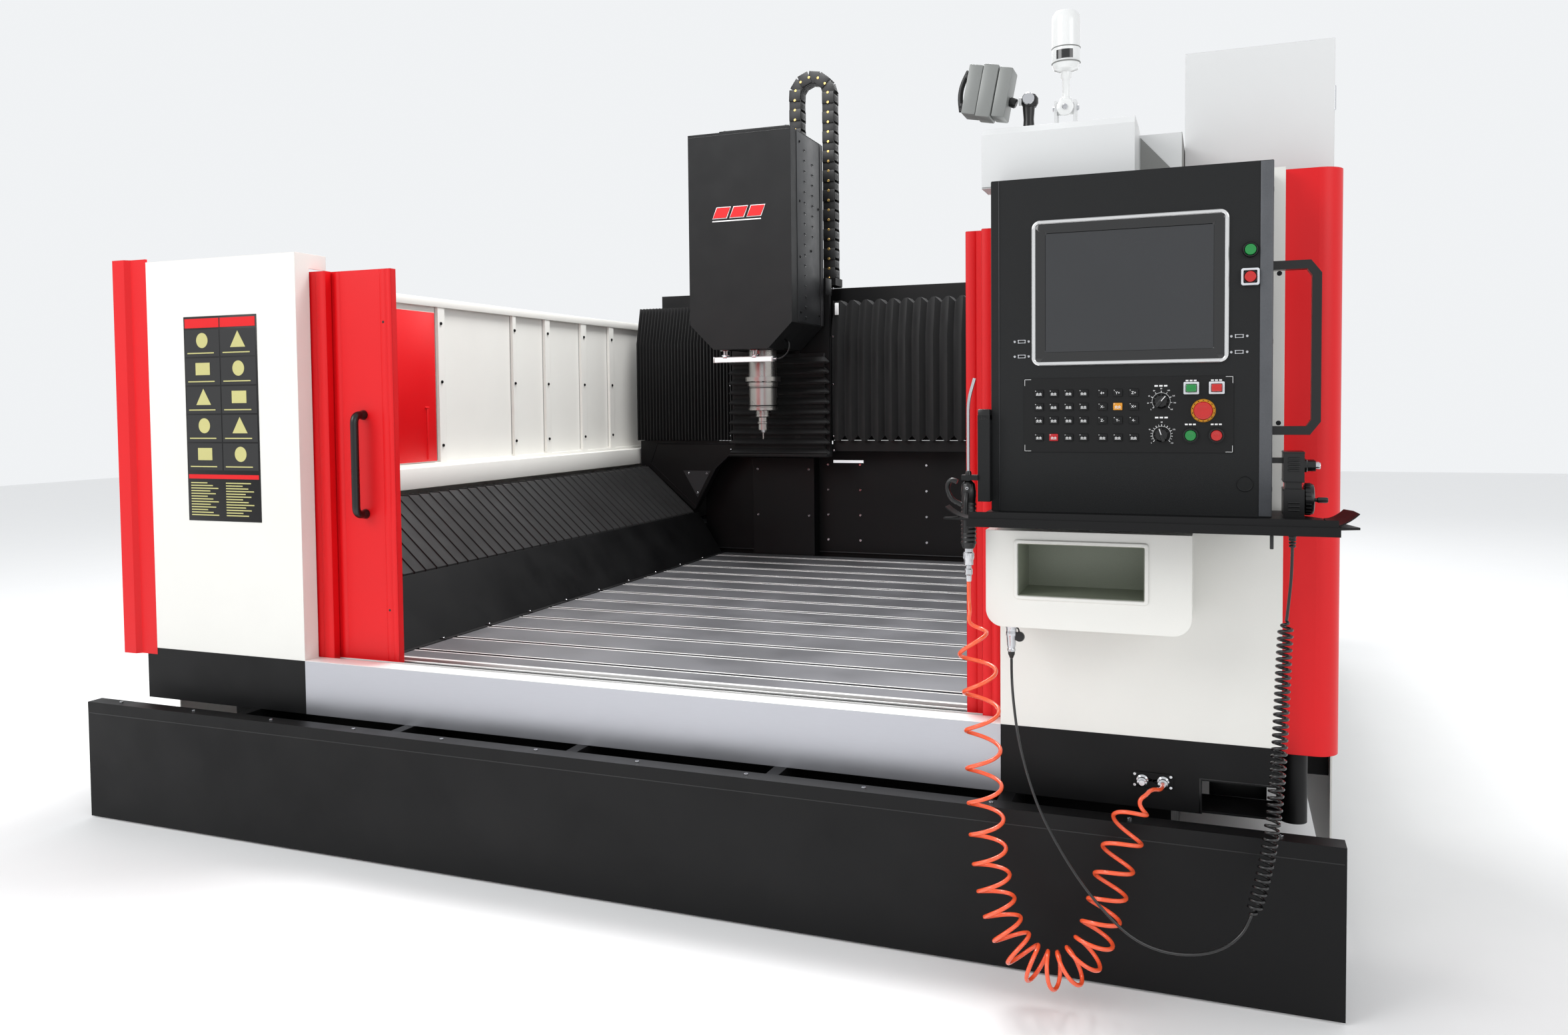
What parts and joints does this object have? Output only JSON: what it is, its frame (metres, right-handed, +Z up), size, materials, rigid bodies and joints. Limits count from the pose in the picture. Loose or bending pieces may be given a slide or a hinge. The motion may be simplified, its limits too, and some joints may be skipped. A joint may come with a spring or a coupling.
{
  "type": "cnc router",
  "caption": "Moving-bridge CNC router with a T-slot table, bellows-covered ways, sliding doors, operator's panel, pendant and coiled air hose.",
  "frame": {"origin": "on the floor under the middle of the machine's footprint", "axes": "+Z up, +Y away from the operator towards the bridge's home end, +X to the operator's right"},
  "size_m": [3.206, 3.7, 2.701],
  "materials": {
    "black_textured_paint": "fine textured powder coat",
    "black_sheet": "satin black sheet metal",
    "white_paint": "satin warm white powder coat",
    "red_paint": "gloss red enamel",
    "silver_panel": "satin silver sheet",
    "ground_steel": "ground table surface",
    "rail_steel": "ground rail steel",
    "cast_frame": "black painted casting",
    "bellows_cloth": "coated fabric bellows",
    "chain_plastic": "black cable chain",
    "spindle_steel": "polished spindle housing",
    "lamp_white": "white light housing",
    "lamp_grey": "grey lamp body",
    "silver_frame": "satin silver bezel",
    "screen": "dark screen glass",
    "key_plate": "printed key plate",
    "red_button": "red button cap",
    "green_button": "green button cap",
    "black_plastic": "moulded black plastic",
    "orange_hose": "orange polyurethane hose",
    "black_lead": "black cable jacket",
    "chrome_fitting": "plated brass fittings"
  },
  "bodies": {
    "machine": {"front_plinth": "black_sheet", "machine_frame": "cast_frame", "work_table": "ground_steel", "table_front_panel": "silver_panel", "lower_casings": "black_sheet", "left_casing": "white_paint", "right_casing": "white_paint", "corner_trims": "red_paint", "side_covers": "white_paint", "side_fences": "white_paint", "chip_guards": "black_sheet", "y_rails": "rail_steel", "y_bellows_front": "bellows_cloth", "y_bellows_rear": "bellows_cloth", "rear_panels": "black_sheet", "control_panel_housing": "black_textured_paint", "panel_handle": "black_plastic", "screen_bezel": "silver_frame", "screen_glass": "screen", "keypad_plate": "key_plate", "panel_tray": "black_sheet", "storage_box": "white_paint", "top_cover": "white_paint", "electrical_cabinet": "white_paint", "hose_fittings": "chrome_fitting", "air_hose_coil": "orange_hose", "air_hose_tails": "orange_hose", "pendant_coil": "black_lead", "pendant_leads": "black_lead", "pendant_body": "black_plastic", "air_gun_body": "black_plastic"},
    "gantry": {"gantry_beam": "black_sheet", "x_bellows_left": "bellows_cloth", "x_bellows_right": "bellows_cloth"},
    "saddle_carriage": {"saddle": "black_sheet", "z_way_cover": "bellows_cloth", "z_cable_chain": "chain_plastic"},
    "spindle_head": {"z_ram": "cast_frame", "head_cover": "black_textured_paint", "spindle_housing": "spindle_steel", "light_bar": "lamp_white"},
    "spindle": {"spindle_nose": "spindle_steel"},
    "left_leading_door": {"door_left_leading": "red_paint", "left_door_handle": "black_plastic"},
    "left_trailing_door": {"door_left_trailing": "red_paint"},
    "right_leading_door": {"door_right_leading": "red_paint"},
    "right_trailing_door": {"door_right_trailing": "red_paint"},
    "tower_lamp": {"tower_light": "lamp_white"},
    "work_lamp_head": {"work_lamp": "lamp_grey"},
    "pendant_handwheel": {"pendant_wheel": "black_plastic"},
    "gun_trigger": {"air_gun_trigger": "black_plastic"},
    "estop": {"estop_button": "red_button"},
    "cycle_start": {"cycle_start_button": "green_button"},
    "cycle_stop": {"cycle_stop_button": "red_button"},
    "power_on": {"power_on_button": "green_button"},
    "power_off": {"power_off_button": "red_button"},
    "screen_green": {"screen_green_button": "green_button"},
    "screen_red": {"screen_red_button": "red_button"},
    "spindle_override": {"spindle_override_knob": "black_plastic"},
    "feed_override": {"feed_override_knob": "black_plastic"}
  },
  "joints": [
    {"name": "gantry_travel", "type": "slide", "parent": "machine", "child": "gantry", "axis": [0, 1, 0], "range_m": [-1.95, 0], "deforming": ["y_bellows_front", "y_bellows_rear"]},
    {"name": "saddle_travel", "type": "slide", "parent": "gantry", "child": "saddle_carriage", "axis": [1, 0, 0], "range_m": [0, 1.31], "deforming": ["x_bellows_left", "x_bellows_right"]},
    {"name": "head_travel", "type": "slide", "parent": "saddle_carriage", "child": "spindle_head", "axis": [0, 0, 1], "range_m": [-0.4, 0], "deforming": ["z_way_cover", "z_cable_chain"]},
    {"name": "spindle_spin", "type": "hinge", "parent": "spindle_head", "child": "spindle", "pos_m": [-0.554, 0.94, 1.1], "axis": [0, 0, 1], "continuous": true},
    {"name": "left_leading_slide", "type": "slide", "parent": "machine", "child": "left_leading_door", "axis": [1, 0, 0], "range_m": [0, 0.674]},
    {"name": "left_trailing_slide", "type": "slide", "parent": "machine", "child": "left_trailing_door", "axis": [1, 0, 0], "range_m": [0, 0.338]},
    {"name": "right_leading_slide", "type": "slide", "parent": "machine", "child": "right_leading_door", "axis": [1, 0, 0], "range_m": [-0.864, 0]},
    {"name": "right_trailing_slide", "type": "slide", "parent": "machine", "child": "right_trailing_door", "axis": [1, 0, 0], "range_m": [-0.433, 0]},
    {"name": "tower_light_fold", "type": "hinge", "parent": "machine", "child": "tower_lamp", "pos_m": [1.083, -1.51, 1.759], "axis": [1, 0, 0], "range_deg": [-90, 0]},
    {"name": "work_lamp_tilt", "type": "hinge", "parent": "machine", "child": "work_lamp_head", "pos_m": [0.95, -1.53, 1.778], "axis": [1, 0, 0], "range_deg": [-40, 40]},
    {"name": "handwheel_spin", "type": "hinge", "parent": "machine", "child": "pendant_handwheel", "pos_m": [1.53, -1.655, 0.972], "axis": [1, 0, 0], "continuous": true},
    {"name": "trigger_pull", "type": "hinge", "parent": "machine", "child": "gun_trigger", "pos_m": [0.918, -1.728, 0.97], "axis": [1, 0, 0], "range_deg": [0, 5], "stiffness_Nm_per_rad": 1, "springref_deg": -5.73},
    {"name": "estop_press", "type": "slide", "parent": "machine", "child": "estop", "axis": [0, 1, 0], "range_m": [0, 0.005], "stiffness_N_per_m": 800, "springref_m": -0.001},
    {"name": "cycle_start_press", "type": "slide", "parent": "machine", "child": "cycle_start", "axis": [0, 1, 0], "range_m": [0, 0.003], "stiffness_N_per_m": 800, "springref_m": -0.001},
    {"name": "cycle_stop_press", "type": "slide", "parent": "machine", "child": "cycle_stop", "axis": [0, 1, 0], "range_m": [0, 0.003], "stiffness_N_per_m": 800, "springref_m": -0.001},
    {"name": "power_on_press", "type": "slide", "parent": "machine", "child": "power_on", "axis": [0, 1, 0], "range_m": [0, 0.003], "stiffness_N_per_m": 800, "springref_m": -0.001},
    {"name": "power_off_press", "type": "slide", "parent": "machine", "child": "power_off", "axis": [0, 1, 0], "range_m": [0, 0.003], "stiffness_N_per_m": 800, "springref_m": -0.001},
    {"name": "screen_green_press", "type": "slide", "parent": "machine", "child": "screen_green", "axis": [0, 1, 0], "range_m": [0, 0.003], "stiffness_N_per_m": 800, "springref_m": -0.001},
    {"name": "screen_red_press", "type": "slide", "parent": "machine", "child": "screen_red", "axis": [0, 1, 0], "range_m": [0, 0.003], "stiffness_N_per_m": 800, "springref_m": -0.001},
    {"name": "spindle_override_turn", "type": "hinge", "parent": "machine", "child": "spindle_override", "pos_m": [1.279, -1.7, 1.154], "axis": [0, 1, 0], "range_deg": [-135, 135]},
    {"name": "feed_override_turn", "type": "hinge", "parent": "machine", "child": "feed_override", "pos_m": [1.28, -1.7, 1.091], "axis": [0, 1, 0], "range_deg": [-135, 135]}
  ],
  "couplings": [
    {"joint": "left_trailing_slide", "follows": "left_leading_slide", "ratio": 0.5},
    {"joint": "right_trailing_slide", "follows": "right_leading_slide", "ratio": 0.5}
  ]
}
